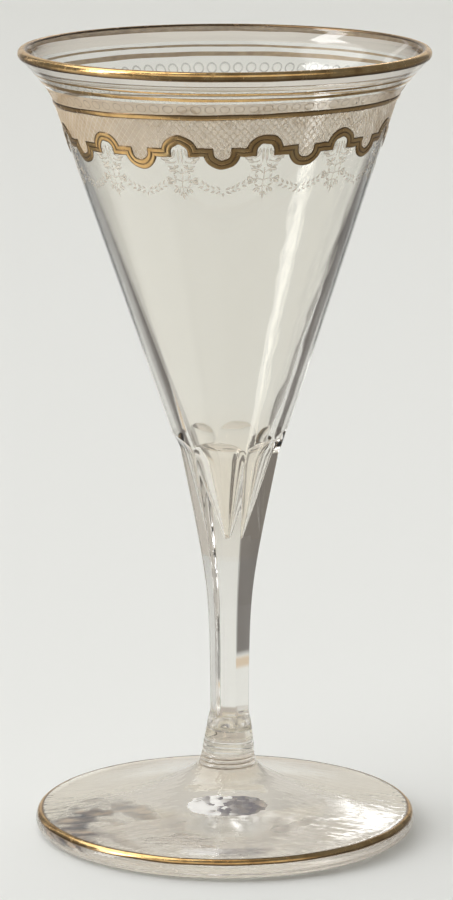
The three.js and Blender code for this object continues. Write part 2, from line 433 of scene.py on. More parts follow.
def turned_piece(name, rings, ends, materials, worn_rows=(), is_scar=lambda x, y: False):
    """Piece of glass made of stacked rings, closed on the axis at both ends.

    Each end is a height and whether it is a seam, where the glass goes on in the next piece. The
    worn rows of faces take the third material, apart from those on the scar, which take the fourth."""
    points, faces = skin(rings, False)
    count = len(rings[0])
    worn, scar, seams = [], [], []
    for face in (row * count + i for row in worn_rows for i in range(count)):
        on_scar = is_scar(*points[faces[face][0]][:2])
        (scar if on_scar else worn).append(face)
    for first, (height, seam) in zip((0, len(points) - count), ends):
        centre = len(points)
        points.append((0, 0, height))
        for i in range(count):
            if seam:
                seams.append(len(faces))
            elif is_scar(0, 0):
                scar.append(len(faces))
            faces.append((centre, first + i, first + (i + 1) % count))
    return make_piece(name, points, faces, materials, seams, worn, scar, sharp=GLASS_CREASE)


# Materials
class Graph:
    """Node tree of a material or of the world, with short names for the nodes used here."""

    def __init__(self, tree):
        self.tree = tree
        tree.nodes.clear()

    def node(self, kind, inputs=(), **settings):
        made = self.tree.nodes.new(kind)
        for name, value in settings.items():
            setattr(made, name, value)
        for key, value in dict(inputs).items():
            if isinstance(value, bpy.types.NodeSocket):
                self.tree.links.new(value, made.inputs[key])
            else:
                made.inputs[key].default_value = value
        return made

    def math(self, operation, first, second=0.0):
        return self.node("ShaderNodeMath", {0: first, 1: second}, operation=operation).outputs[0]

    def product(self, *values):
        made = values[0]
        for value in values[1:]:
            made = self.math("MULTIPLY", made, value)
        return made

    def level(self, value, low, high, to_low, to_high):
        return self.node("ShaderNodeMapRange", {"Value": value, "From Min": low, "From Max": high,
                                                "To Min": to_low, "To Max": to_high}).outputs[0]

    def rise(self, value, low, high):
        """Soft step from 0 at low to 1 at high."""
        return self.node("ShaderNodeMapRange", {"Value": value, "From Min": low, "From Max": high},
                         interpolation_type="SMOOTHSTEP").outputs[0]

    def within(self, value, middle, half, soft):
        """Soft window: 1 near the middle value, 0 past the half width."""
        off = self.math("ABSOLUTE", self.math("SUBTRACT", value, middle))
        return self.rise(off, half + soft, half - soft)

    def sector(self, turn, middle, half, soft):
        """Soft window of a turn in radians, given in degrees."""
        return self.within(turn, radians(middle), radians(half), radians(soft))

    def mix(self, factor, first, second):
        return self.node("ShaderNodeMix", {"Factor": factor, "A": first, "B": second},
                         data_type="RGBA").outputs["Result"]

    def spot(self):
        """Place on the object, in metres."""
        return self.node("ShaderNodeTexCoord").outputs["Object"]

    def axes(self, vector):
        return self.node("ShaderNodeSeparateXYZ", {"Vector": vector}).outputs

    def length(self, vector):
        return self.node("ShaderNodeVectorMath", {0: vector}, operation="LENGTH").outputs["Value"]

    def noise(self, scale, detail=3.0, stretch=(1, 1, 1)):
        """Noise over the object, stretched along its axes."""
        mapped = self.node("ShaderNodeMapping", {"Vector": self.spot(), "Scale": stretch})
        return self.node("ShaderNodeTexNoise", {"Vector": mapped.outputs[0], "Scale": scale,
                                                "Detail": detail}).outputs["Fac"]

    def ramp(self, factor, stops):
        made = self.node("ShaderNodeValToRGB", {"Fac": factor})
        elements = made.color_ramp.elements
        while len(elements) < len(stops):
            elements.new(0.5)
        for element, (place, colour) in zip(elements, stops):
            element.position = place
            element.color = (*colour, 1)
        return made.outputs["Color"]

    def bump(self, height, strength, distance):
        return self.node("ShaderNodeBump", {"Height": height, "Strength": strength,
                                            "Distance": distance}).outputs[0]

    def from_front(self, share):
        """The share as seen from a face's front, and nothing from its back."""
        back = self.node("ShaderNodeNewGeometry").outputs["Backfacing"]
        return self.level(back, 0, 1, share, 0)

    def surface(self, kind, inputs=()):
        """Adds the shader and makes it the tree's surface."""
        shader = self.node(kind, inputs)
        end = "ShaderNodeOutputWorld" if kind == "ShaderNodeBackground" else "ShaderNodeOutputMaterial"
        self.node(end, {"Surface": shader.outputs[0]})

    def principled(self, colour, inputs):
        self.surface("ShaderNodeBsdfPrincipled", {"Base Color": colour, **inputs})

    def polished_glass(self, colour, **inputs):
        self.principled(colour, {"Roughness": 0.0, "IOR": GLASS_IOR, "Transmission Weight": 1.0,
                                 **inputs})


def new_material(name):
    material = bpy.data.materials.new(name)
    material.use_nodes = True
    return material, Graph(material.node_tree)


GLASS_IOR = 1.52
GLASS_TINT = (0.96, 0.948, 0.912, 1)
THICK_TINT = (0.945, 0.912, 0.85, 1)


def clear_glass(name, scale, stretch, ripple, top_ripple, base_tint=None, rippled_side=None):
    """Clear, faintly warm glass with the ripple of a hand-worked surface, all round or on one side.

    The ripple turns into the top ripple under the flare. A base's own tint ends at the cone's foot."""
    material, graph = new_material(name)
    axes = graph.axes(graph.spot())
    height = axes["Z"]
    strength = graph.level(height, (CONE_TOP - RIPPLE_FADE) * MM, CONE_TOP * MM, ripple, top_ripple)
    if rippled_side:
        turn = graph.math("ARCTAN2", axes["X"], graph.math("MULTIPLY", axes["Y"], -1.0))
        strength = graph.product(strength, graph.sector(turn, *rippled_side))
    tint = GLASS_TINT
    if base_tint:
        thin = graph.rise(height, *((CONE_FOOT + fade) * MM for fade in BASE_TINT_FADE))
        tint = graph.mix(thin, base_tint, GLASS_TINT)
    graph.polished_glass(tint, Normal=graph.bump(graph.noise(scale, 2.0, stretch), strength, 0.001))
    return material


def groove_look():
    """Grooves of the collar, with a dark brown tone in them that shows from outside."""
    material, graph = new_material("groove_look")
    groove_tone = graph.ramp(graph.noise(500.0), [(0.3, (0.06, 0.035, 0.02)), (0.7, (0.24, 0.17, 0.11))])
    graph.polished_glass(graph.mix(graph.from_front(1.0), GLASS_TINT, groove_tone))
    return material


def off_middle(graph, x, y, half_length, half_width, turn):
    """How far a place is from the middle of a long patch, 1 at the patch's edge."""
    inside = graph.node("ShaderNodeMapping", {
        "Vector": graph.spot(),
        "Location": (x * MM, y * MM, 0),
        "Rotation": (0, 0, radians(turn)),
        "Scale": (half_length * MM, half_width * MM, 1),
    }, vector_type="TEXTURE").outputs[0]
    return graph.length(inside)


def worn_glass_with_painted_reflections():
    """Underside of the foot, dulled by use, with painted dark reflections in patches and fine wavy
    lines, which glow a little and show at a low angle.
    """
    material, graph = new_material("worn_glass_look")
    uneven = graph.level(graph.noise(260.0, 5.0, (0.5, 1, 1)), 0.25, 0.75, -0.9, 0.9)
    contours = graph.noise(160.0, 1.0, (0.12, 1, 1))
    painted_reflection = graph.product(
        graph.rise(off_middle(graph, *WAVY_REFLECTION_LINES), 1.0, 0.6),
        graph.math("PINGPONG", graph.math("MULTIPLY", contours, 18.0), 0.5))
    painted_reflection = graph.product(graph.rise(painted_reflection, 0.36, 0.47), 0.6)
    for *patch, density in DARK_REFLECTION_PATCHES:
        off = graph.math("ADD", off_middle(graph, *patch), uneven)
        painted_reflection = graph.math("MAXIMUM", graph.product(graph.rise(off, 1.05, 0.55), density), painted_reflection)
    facing = graph.node("ShaderNodeLayerWeight", {"Blend": 0.5}).outputs["Facing"]
    painted_reflection = graph.product(painted_reflection, graph.rise(facing, 0.08, 0.26))
    tone = graph.ramp(graph.noise(520.0, 4.0, (0.4, 1, 1)), [
        (0.35, (0.07, 0.068, 0.08)),
        (0.52, (0.17, 0.145, 0.13)),
        (0.66, (0.40, 0.33, 0.26)),
    ])
    # Painted reflections: the patches darken the glass, stop its transmission and glow by emission
    graph.principled(graph.mix(painted_reflection, GLASS_TINT, tone), {
        "Roughness": graph.level(graph.noise(160.0), 0.35, 0.65, 0.06, 0.15),
        "IOR": GLASS_IOR,
        "Transmission Weight": graph.level(painted_reflection, 0, 1, 1, 0),
        "Emission Color": tone,
        "Emission Strength": graph.level(painted_reflection, 0, 1, 0, 0.6),
    })
    return material


def glowing_scar_look():
    """Scar of the pontil rod under the foot: broken, silvery glass, dark on its right, with painted
    light that makes it glow.
    """
    material, graph = new_material("pontil_scar_look")
    spot = graph.spot()
    facets = graph.node("ShaderNodeTexVoronoi", {"Vector": spot, "Scale": 800.0}).outputs["Color"]
    uneven = graph.math("ADD", graph.level(graph.axes(spot)["X"], -5 * MM, 6 * MM, 0.1, 0.8),
                        graph.level(facets, 0, 1, -0.3, 0.3))
    tone = graph.ramp(uneven, [
        (0.3, (1.0, 1.0, 1.0)),
        (0.42, (0.42, 0.40, 0.40)),
        (0.55, (0.20, 0.19, 0.215)),
        (0.75, (0.30, 0.275, 0.27)),
        (0.95, (0.56, 0.51, 0.46)),
    ])
    # Painted light: the emission makes the scar glow in place of the light that reaches it through the
    # foot
    graph.principled(tone, {
        "Roughness": 0.35,
        "Emission Color": tone,
        "Emission Strength": 0.45,
    })
    return material


def seam_look():
    """Joint inside the glass, where light passes straight on."""
    material, graph = new_material("glass_seam_look")
    graph.surface("ShaderNodeBsdfTransparent")
    return material


def fired_gold():
    """Burnished fired gold with brush marks, uneven tone and worn specks, darkened by painted shade
    towards the edges of its lines.
    """
    material, graph = new_material("fired_gold_look")
    tone = graph.ramp(graph.noise(420.0, 4.0), [
        (0.25, (0.56, 0.33, 0.13)),
        (0.5, (0.84, 0.54, 0.23)),
        (0.8, (0.92, 0.66, 0.33)),
    ])
    # Painted shade: the edge attribute darkens the gold towards the edges of its lines
    edge = graph.node("ShaderNodeAttribute", attribute_name="edge").outputs["Fac"]
    graph.principled(graph.mix(graph.math("MULTIPLY", edge, 0.9), tone, (0.16, 0.105, 0.065, 1)), {
        "Alpha": graph.from_front(1.0),
        "Metallic": 1.0,
        "Roughness": graph.level(graph.noise(900.0), 0.3, 0.7, 0.12, 0.3),
        "Normal": graph.bump(graph.noise(2600.0), 0.12, 0.0001),
    })
    return material


def gold_underside(name, density):
    """Gold as it shows from inside the glass: a dull ochre film, thinner or denser."""
    material, graph = new_material(name)
    tone = graph.ramp(graph.noise(700.0, 4.0), [
        (0.3, (0.52, 0.36, 0.19)),
        (0.7, (0.70, 0.52, 0.30)),
    ])
    graph.principled(tone, {
        "Metallic": 0.4,
        "Roughness": graph.level(graph.noise(900.0), 0.3, 0.7, 0.3, 0.5),
        "Alpha": density,
    })
    return material


def etched_glass(name, density, tones=((0.76, 0.64, 0.49), (0.92, 0.80, 0.64))):
    """Etched strokes: rough glass that lets part of the light through, with a trace of gold in it."""
    material, graph = new_material(name)
    tone = graph.ramp(graph.noise(1500.0), [(0.3, tones[0]), (0.7, tones[1])])
    graph.principled(tone, {
        "Roughness": graph.level(graph.noise(2500.0), 0.3, 0.7, 0.55, 0.8),
        "Alpha": graph.from_front(density),
        "Normal": graph.bump(graph.noise(6000.0, 2.0), 0.3, 0.00005),
    })
    return material


def etched_ground_look():
    """Ground of the etched band: a faint tan film on the glass, thicker on its left."""
    material, graph = new_material("etched_ground_look")
    across = graph.axes(graph.spot())["X"]
    density = graph.level(across, -26 * MM, 12 * MM, 0.62, 0.42)
    tone = graph.ramp(graph.noise(300.0), [
        (0.3, (0.58, 0.40, 0.225)),
        (0.7, (0.72, 0.52, 0.31)),
    ])
    graph.principled(tone, {
        "Roughness": 0.6,
        "Alpha": graph.product(graph.from_front(1.0), density),
    })
    return material


SEAM = seam_look()
GLASS = [clear_glass("clear_glass_look", 90.0, (1, 1, 0.35), 0.05, 0.05), SEAM]
BOWL_GLASS = [
    clear_glass("bowl_glass_look", 120.0, (1, 1, 0.5), 0.32, 0.0, THICK_TINT, RIPPLED_SIDE),
    SEAM,
]
COLLAR_GLASS = [*GLASS, groove_look()]
FOOT_GLASS = [
    clear_glass("foot_glass_look", 700.0, (0.35, 1, 1), 0.12, 0.12),
    SEAM,
    worn_glass_with_painted_reflections(),
    glowing_scar_look(),
]
GOLD = [fired_gold(), gold_underside("gold_underside_look", 0.85)]
THIN_GOLD = [GOLD[0], gold_underside("thin_gold_underside_look", 0.15)]
ETCHED = [etched_glass("etched_glass_look", 0.45), etched_glass("etched_underside_look", 0.06)]
CHAIN_TONES = ((0.20, 0.145, 0.09), (0.40, 0.30, 0.19))
ETCHED_CHAIN = [etched_glass("etched_chain_look", 0.6, CHAIN_TONES),
                etched_glass("etched_chain_underside_look", 0.3, CHAIN_TONES)]
ETCHED_TRELLIS = [etched_glass("etched_trellis_look", 0.65), ETCHED[1]]
ETCHED_GROUND = [etched_ground_look(), SEAM]


def finished(piece, slot, *nodes):
    if nodes:
        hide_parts(*nodes)
    return piece


# Glass body
def make_bowl():
    zone = (CONE_FOOT, ARCH_TOP)
    heights = stations(BOWL_SEAM, (CONE_FOOT - RELAX, 24), (CONE_FOOT, 8), (ARCH_TOP, 36),
                       (ARCH_TOP + RELAX, 8))
    blank = lambda z: max(CONE_FOOT_RADIUS, cone_radius(z))
    rings = [flat_ring(z, blank(z), zone) for z in heights]
    rings += [round_ring(cone_radius(z), z) for z in evenly(heights[-1], CONE_TOP, 20)[1:]]
    tip_centre = (0, BOWL_SEAM + TIP_COVER + TIP_RADIUS)
    flare = inner_flare()
    cavity_top = flare[0]
    slant = hypot(cavity_top[0], cavity_top[1] - tip_centre[1])
    tilt = atan2(cavity_top[0], cavity_top[1] - tip_centre[1]) - asin(TIP_RADIUS / slant)
    tip = arc(tip_centre, TIP_RADIUS, -tilt, -pi / 2, 10)[:-1]
    inner_cone = [tuple(a + (b - a) * t for a, b in zip(cavity_top, tip[0])) for t in evenly(0, 1, 30)]
    profile = FLARE[2::2] + LIP_ARC[1:] + flare[-3::-2] + inner_cone[1:] + tip[1:]
    rings += [round_ring(r, z) for r, z in profile]
    ends = [(BOWL_SEAM, True), (BOWL_SEAM + TIP_COVER, False)]
    return turned_piece("bowl_glass", rings, ends, BOWL_GLASS)


def make_stem():
    zone = (ROOT_END, ROOT_FULL)
    heights = stations(COLLAR_TOP, (ROOT_END, 10), (ROOT_FULL, 20), (FLAT_ROOT + RELAX, 20),
                       (BOWL_SEAM, 40))
    blank = lambda z: stem_blank(z) if z < FLAT_ROOT else CONE_FOOT_RADIUS
    rings = [flat_ring(z, blank(z), zone) for z in heights]
    ends = [(COLLAR_TOP, True), (BOWL_SEAM, True)]
    return turned_piece("stem_glass", rings, ends, GLASS)


def make_collar():
    profile, grooves = [], []
    steps = 16
    for ring in range(RING_COUNT):
        low = FOOT_TOP + ring * RING_HEIGHT
        outer = COLLAR_FOOT_RADIUS - ring * RING_STEP
        for i, share in enumerate(evenly(0, 1, steps)):
            depth = RING_GROOVE * (1 - smooth(min(share, 1 - share) / GROOVE_SHARE))
            if share < GROOVE_SHARE and i < steps:
                grooves.append(len(profile))
            profile.append((outer - depth - RING_STEP * smooth(share), low + share * RING_HEIGHT))
    ring_top = FOOT_TOP + RING_COUNT * RING_HEIGHT
    neck = COLLAR_FOOT_RADIUS - RING_COUNT * RING_STEP
    for share in evenly(0, 1, 12)[1:]:
        bulge = NECK_BULGE * sin(pi * share)
        profile.append((neck + (STEM_FOOT_RADIUS - neck) * share + bulge,
                        ring_top + share * (COLLAR_TOP - ring_top)))
    rings = [round_ring(r, z) for r, z in profile]
    ends = [(FOOT_TOP, True), (COLLAR_TOP, True)]
    return turned_piece("collar_glass", rings, ends, COLLAR_GLASS, grooves)


def make_waves(count, shortest, longest):
    """Gives the sum of waves in chance directions, by the place on the foot."""
    waves = []
    for _ in range(count):
        turn = rng.uniform(0, pi)
        number = tau / rng.uniform(shortest, longest)
        waves.append((number * cos(turn), number * sin(turn), rng.uniform(0, tau)))
    return lambda x, y: sum(sin(a * x + b * y + c) for a, b, c in waves)


def make_foot():
    seat = COLLAR_FOOT_RADIUS + FOOT_SEAT_MARGIN
    width = FOOT_EDGE_CENTRE[0] - seat
    neck_rise = FOOT_TOP - 2 * FOOT_EDGE_RADIUS - FOOT_CONE_RISE
    neck = lambda out: exp(-out / FOOT_NECK_REACH) - exp(-width / FOOT_NECK_REACH)
    curve = (PONTIL_RADIUS ** 2 + PONTIL_DEPTH ** 2) / (2 * PONTIL_DEPTH)
    waves = make_waves(9, 9.0, 26.0)
    lumps = make_waves(7, 2.5, 6.0)

    def off_scar(x, y):
        return hypot((x - SCAR_CENTRE[0]) / SCAR_RADII[0], (y - SCAR_CENTRE[1]) / SCAR_RADII[1])

    def scarred(x, y, z):
        """Point of the underside, raised where the scar's lumps hollow it."""
        fade = SCAR_LUMPS * smooth((1 - off_scar(x, y)) * 3)
        return (x, y, z + fade * max(0, 2 + lumps(x, y)) / 3)

    rings = []
    for radius in evenly(PONTIL_RADIUS / 12, PONTIL_RADIUS, 22):
        rings.append(round_ring(radius, PONTIL_DEPTH - curve + sqrt(curve ** 2 - radius ** 2)))
    flat = stations(PONTIL_RADIUS, (2 * PONTIL_RADIUS, 22), (FOOT_EDGE_CENTRE[0], 8))[1:]
    rings += [round_ring(r, 0) for r in flat]
    rings = [[scarred(*p) for p in ring] for ring in rings]
    underside = range(len(rings) - 1)
    edge = arc(FOOT_EDGE_CENTRE, FOOT_EDGE_RADIUS, -pi / 2, pi / 2, 24)[1:]
    rings += [round_ring(r, z) for r, z in edge]
    for share in evenly(0, 1, 60)[1:]:
        out = width * (1 - share) ** FOOT_RING_CROWDING
        rise = FOOT_CONE_RISE * (1 - out / width) ** FOOT_CONE_POWER + neck_rise * neck(out) / neck(0)
        fade = smooth(out / FOOT_WAVE_FADE[0]) * smooth((width - out) / FOOT_WAVE_FADE[1])
        ring = round_ring(seat + out, 2 * FOOT_EDGE_RADIUS + rise)
        rings.append([(x, y, z + FOOT_WAVE * fade * waves(x, y) / 3) for x, y, z in ring])
    rings.append(round_ring(COLLAR_FOOT_RADIUS - RING_GROOVE, FOOT_TOP))
    ends = [(PONTIL_DEPTH, False), (FOOT_TOP, True)]
    is_scar = lambda x, y: off_scar(x, y) < 1
    return turned_piece("foot_glass", rings, ends, FOOT_GLASS, underside, is_scar)


finished(make_bowl(), "clear_glass", "bowl")
finished(make_stem(), "clear_glass", "stem")
finished(make_collar(), "clear_glass", "stem_collar")
finished(make_foot(), "clear_glass", "foot")


# Gilding
def wander(size, slowest=3, fastest=23, terms=6):
    """Slow, closed unevenness round the glass, as a hand-drawn line has."""
    parts = [(rng.randint(slowest, fastest), rng.uniform(0, tau)) for _ in range(terms)]
    return lambda angle: size * sum(sin(n * angle + start) for n, start in parts) / sqrt(terms)


def bead(width, relief, steps=10):
    """Cross-section of a raised gold line: a low ridge whose underside lies in the glass."""
    ridge = [(-width / 2 * cos(t), relief * sin(t)) for t in evenly(0, pi, steps)]
    return ridge + [(width / 2, -GOLD_SINK), (-width / 2, -GOLD_SINK)]


def gold_piece(name, rings, top_edges, sharp, materials=GOLD):
    """Gold layer of rings that are joined in turn: those of its top, then those of its underside.

    The top edges tell for each ring of the top how much painted shade darkens it near the edge of the
    line."""
    points, faces = skin(rings, True)
    count = len(rings[0])
    under = range((len(top_edges) - 1) * count, len(faces))
    edges = [edge for edge in top_edges for _ in range(count)]
    edges += [1.0] * (len(points) - len(edges))
    return make_piece(name, points, faces, materials, under, sharp=sharp, edges=edges)


def painted_edge_shade(off):
    """How much painted shade darkens a line of gold at a place off its middle, which is 0, towards its
    edge at 1.
    """
    return smooth((abs(off) - EDGE_SHADE_SPAN[0]) / (EDGE_SHADE_SPAN[1] - EDGE_SHADE_SPAN[0]))


def make_line(node_name, drop, width, relief):
    shift, swell = wander(0.03), wander(0.06)
    z = RIM_TOP - drop
    rise = wall_at(z)[1][0]
    rings = []
    for across, lift in bead(width, relief):
        ring = []
        for angle in GOLD_ANGLES:
            along = across * (1 + swell(angle)) + shift(angle)
            ring.append(wall_place(angle, z + along * rise, lift))
        rings.append(ring)
    raised = relief >= GOLD_RELIEF
    edges = [painted_edge_shade(2 * across / width) * raised for across, _ in bead(width, relief)[:-2]]
    return gold_piece(node_name.replace("gilt_line", "line_gold"), rings, edges, GOLD_CREASE)


def shell_piece(name, centre, radius, start, end, relief, steps, materials=GOLD):
    """Gold on a round edge: a layer that follows the edge's arc and thins out at its two sides."""
    shift = wander(0.03)
    over = [(turn, relief * sqrt(sin(pi * i / steps)))
            for i, turn in enumerate(evenly(start, end, steps))]
    section = over + [(turn, -GOLD_SINK) for turn in evenly(end, start, steps)]
    rings = []
    for turn, lift in section:
        ring = []
        for angle in GOLD_ANGLES:
            bend = turn + shift(angle) / radius
            reach = radius + lift
            ring.append(round_place(centre[0] + reach * cos(bend), angle,
                                    centre[1] + reach * sin(bend)))
        rings.append(ring)
    edges = [painted_edge_shade(2 * i / steps - 1) for i in range(steps + 1)]
    return gold_piece(name, rings, edges, GOLD_CREASE, materials)


for line_node, line_sizes in GOLD_LINES.items():
    finished(make_line(line_node, *line_sizes), "gilding", line_node)

finished(shell_piece("rim_gold", LIP_CENTRE, LIP_RADIUS, -FLARE_ANGLE, pi - FLARE_ANGLE,
                     RIM_GOLD_RELIEF, 28), "gilding", "rim_gilding")
finished(shell_piece("foot_gold", FOOT_EDGE_CENTRE, FOOT_EDGE_RADIUS, *FOOT_BAND,
                     FOOT_GOLD_RELIEF, 16, THIN_GOLD), "gilding", "foot_gilding")


# Unrolled band of the bowl at the border: u runs round the bowl and v up its slant, in millimetres
SHELF = RIM_TOP - BORDER_DROP
SHELF_RADIUS, SHELF_OUTWARD = wall_at(SHELF)
GIRTH = tau * SHELF_RADIUS
PERIOD = GIRTH / BORDER_REPEATS


def on_bowl(u, v, lift):
    return wall_place(BORDER_TURN + u / SHELF_RADIUS, SHELF + v * SHELF_OUTWARD[0], lift)


def border_line():
    """Closed centre line of the border: hanging lobes and standing arches, joined by shelves."""
    line = []
    for repeat in range(BORDER_REPEATS):
        for middle, end in ((repeat * PERIOD, tau), ((repeat + 0.5) * PERIOD, 0)):
            line += arc((middle, 0), BORDER_ARC, pi, end, 28)
            shelf = evenly(middle + BORDER_ARC, middle + PERIOD / 2 - BORDER_ARC, 6)[1:-1]
            line += [(u, 0) for u in shelf]
    return line


RIDGE_TURNS = evenly(0.12, pi - 0.12, 9)


def border_section():
    """Cross-section of the border: two raised lines with a groove between them."""
    half = BORDER_WIDTH / 2
    section = []
    for middle in (-half + BORDER_RIDGE, half - BORDER_RIDGE):
        section += [(middle - BORDER_RIDGE * cos(t), GOLD_RELIEF * sin(t) ** 0.8 + GROOVE_LIFT)
                    for t in RIDGE_TURNS]
    return section + [(half, -GOLD_SINK), (-half, -GOLD_SINK)]


def make_border():
    line = border_line()
    shift, swell = wander(0.05, 20, 90, 9), wander(0.05, 9, 60, 9)
    before = [(line[-1][0] - GIRTH, line[-1][1]), *line[:-1]]
    after = [*line[1:], (line[0][0] + GIRTH, line[0][1])]
    steps = []
    for (u0, v0), (u, v), (u1, v1) in zip(before, line, after):
        arrive = unit(u - u0, v - v0)
        leave = unit(u1 - u, v1 - v)
        side = unit(-arrive[1] - leave[1], arrive[0] + leave[0])
        spread = 1 / (side[1] * arrive[0] - side[0] * arrive[1])
        steps.append((side[0] * spread, side[1] * spread))
    rings = []
    for across, lift in border_section():
        ring = []
        for (u, v), step in zip(line, steps):
            turn = u / SHELF_RADIUS
            reach = across * (1 + swell(turn))
            ring.append(on_bowl(u + step[0] * reach, v + step[1] * reach + shift(turn), lift))
        rings.append(ring)
    edges = [painted_edge_shade(cos(t)) for t in RIDGE_TURNS] * 2
    return gold_piece("border_gold", rings, edges, BORDER_CREASE, THIN_GOLD)


finished(make_border(), "gilding", "scalloped_gilt_border")


# Etched ornament: thin strokes that stand a hair over the glass
class Strokes:
    """Gathers strokes, which are closed three-sided ribs on the bowl, into one piece."""

    def __init__(self):
        self.points = []
        self.faces = []
        self.under = []

    def add(self, path, place, closed=False):
        """A stroke along (u, v, width) points, put on the bowl by the given function."""
        first = len(self.points)
        count = len(path)
        for i, (u, v, width) in enumerate(path):
            before = path[i - 1] if i > 0 or closed else path[i]
            after = path[(i + 1) % count] if i < count - 1 or closed else path[i]
            run, rise = after[0] - before[0], after[1] - before[1]
            length = hypot(run, rise) or 1
            side = (-rise / length * width / 2, run / length * width / 2)
            self.points.append(place(u + side[0], v + side[1], -ETCH_SINK))
            self.points.append(place(u, v, ETCH_RELIEF))
            self.points.append(place(u - side[0], v - side[1], -ETCH_SINK))
        for i in range(count if closed else count - 1):
            here, there = first + 3 * i, first + 3 * ((i + 1) % count)
            for a, b in ((0, 1), (1, 2), (2, 0)):
                self.faces.append((here + a, here + b, there + b, there + a))
            self.under.append(len(self.faces) - 1)
        if not closed:
            last = first + 3 * (count - 1)
            self.faces.append((first, first + 1, first + 2))
            self.faces.append((last + 2, last + 1, last))

    def piece(self, name, materials=ETCHED):
        return make_piece(name, self.points, self.faces, materials, self.under)


def ring_path(u, v, radius, stroke, steps=20):
    return [(u + radius * cos(t), v + radius * sin(t), stroke) for t in evenly(0, tau, steps)[:-1]]


def leaf_path(u, v, turn, length, width=LEAF_WIDTH, bend=0.0, steps=6):
    """A leaf from its foot at (u, v): pointed, widest before its middle, bent to one side."""
    path = []
    for t in evenly(0, 1, steps):
        way = turn + bend * (t - 0.5)
        swell = sin(pi * t ** 0.75)
        path.append((u + length * t * cos(way), v + length * t * sin(way),
                     max(LEAST_STROKE, width * swell)))
    return path


def make_chain():
    strokes = Strokes()
    z = RIM_TOP - CHAIN_DROP
    radius, outward = wall_at(z)
    place = lambda u, v, lift: wall_place(u / radius, z + v * outward[0], lift)
    for i in range(CHAIN_RINGS):
        middle = tau * radius * i / CHAIN_RINGS
        size = CHAIN_RADIUS * (1 + rng.uniform(-0.06, 0.06))
        strokes.add(ring_path(middle, rng.uniform(-0.05, 0.05), size, CHAIN_STROKE), place, True)
    return strokes.piece("etched_ring_chain", ETCHED_CHAIN)


def border_height(u):
    """Height of the border's centre line over its shelf at a place round the bowl."""
    out = abs((u + PERIOD / 4) % PERIOD - PERIOD / 4)
    if out < BORDER_ARC:
        return -sqrt(BORDER_ARC ** 2 - out ** 2)
    out = abs(u % PERIOD - PERIOD / 2)
    return sqrt(max(0, BORDER_ARC ** 2 - out ** 2))


def make_trellis():
    strokes = Strokes()
    drop, width, _ = GOLD_LINES["lower_gilt_line"]
    top = (RIM_TOP - drop - SHELF) / SHELF_OUTWARD[0] - width / 2
    pitch = GIRTH / TRELLIS_LINES
    for lean in (-TRELLIS_LEAN, TRELLIS_LEAN):
        for i in range(TRELLIS_LINES):
            paths = [[]]
            depth = 0.0
            while top - depth > -BORDER_ARC:
                u = i * pitch + lean * depth
                v = top - depth
                if v > border_height(u):
                    paths[-1].append((u, v, TRELLIS_STROKE * rng.uniform(0.8, 1.2)))
                else:
                    paths.append([])
                depth += TRELLIS_STEP
            for path in paths:
                if len(path) > 1:
                    strokes.add(path, on_bowl)
    for repeat in range(BORDER_REPEATS):
        strokes.add(ring_path(repeat * PERIOD, *LOBE_RING), on_bowl, True)
    return strokes.piece("etched_trellis", ETCHED_TRELLIS)


def make_ground():
    """Film over the band between the middle gilt line and the border."""
    drop, width, _ = GOLD_LINES["middle_gilt_line"]
    top = (RIM_TOP - drop - width - SHELF) / SHELF_OUTWARD[0]
    around = evenly(0, GIRTH, 2 * GOLD_COLUMNS)[:-1]
    rings = []
    for lift, shares in ((GROUND_LIFT, evenly(0, 1, 14)), (-GROUND_SINK, evenly(1, 0, 14))):
        for share in shares:
            rings.append([on_bowl(u, top + (border_height(u) - top) * share, lift) for u in around])
    points, faces = skin(rings, True)
    under = range(len(faces) // 2 - len(around), len(faces))
    return make_piece("etched_ground", points, faces, ETCHED_GROUND, under)


def curl_path(u, v, turn, bend, length, width, steps=9):
    """A curling branch from its foot at (u, v) that ends in a small leaf."""
    path = []
    for t in evenly(0, 1, steps):
        leaf = smooth((t - 0.45) / 0.3) * (1 - smooth((t - 0.85) / 0.2))
        path.append((u, v, width * (0.45 + 0.9 * leaf)))
        way = turn + bend * t
        u, v = u + length / steps * cos(way), v + length / steps * sin(way)
    return path


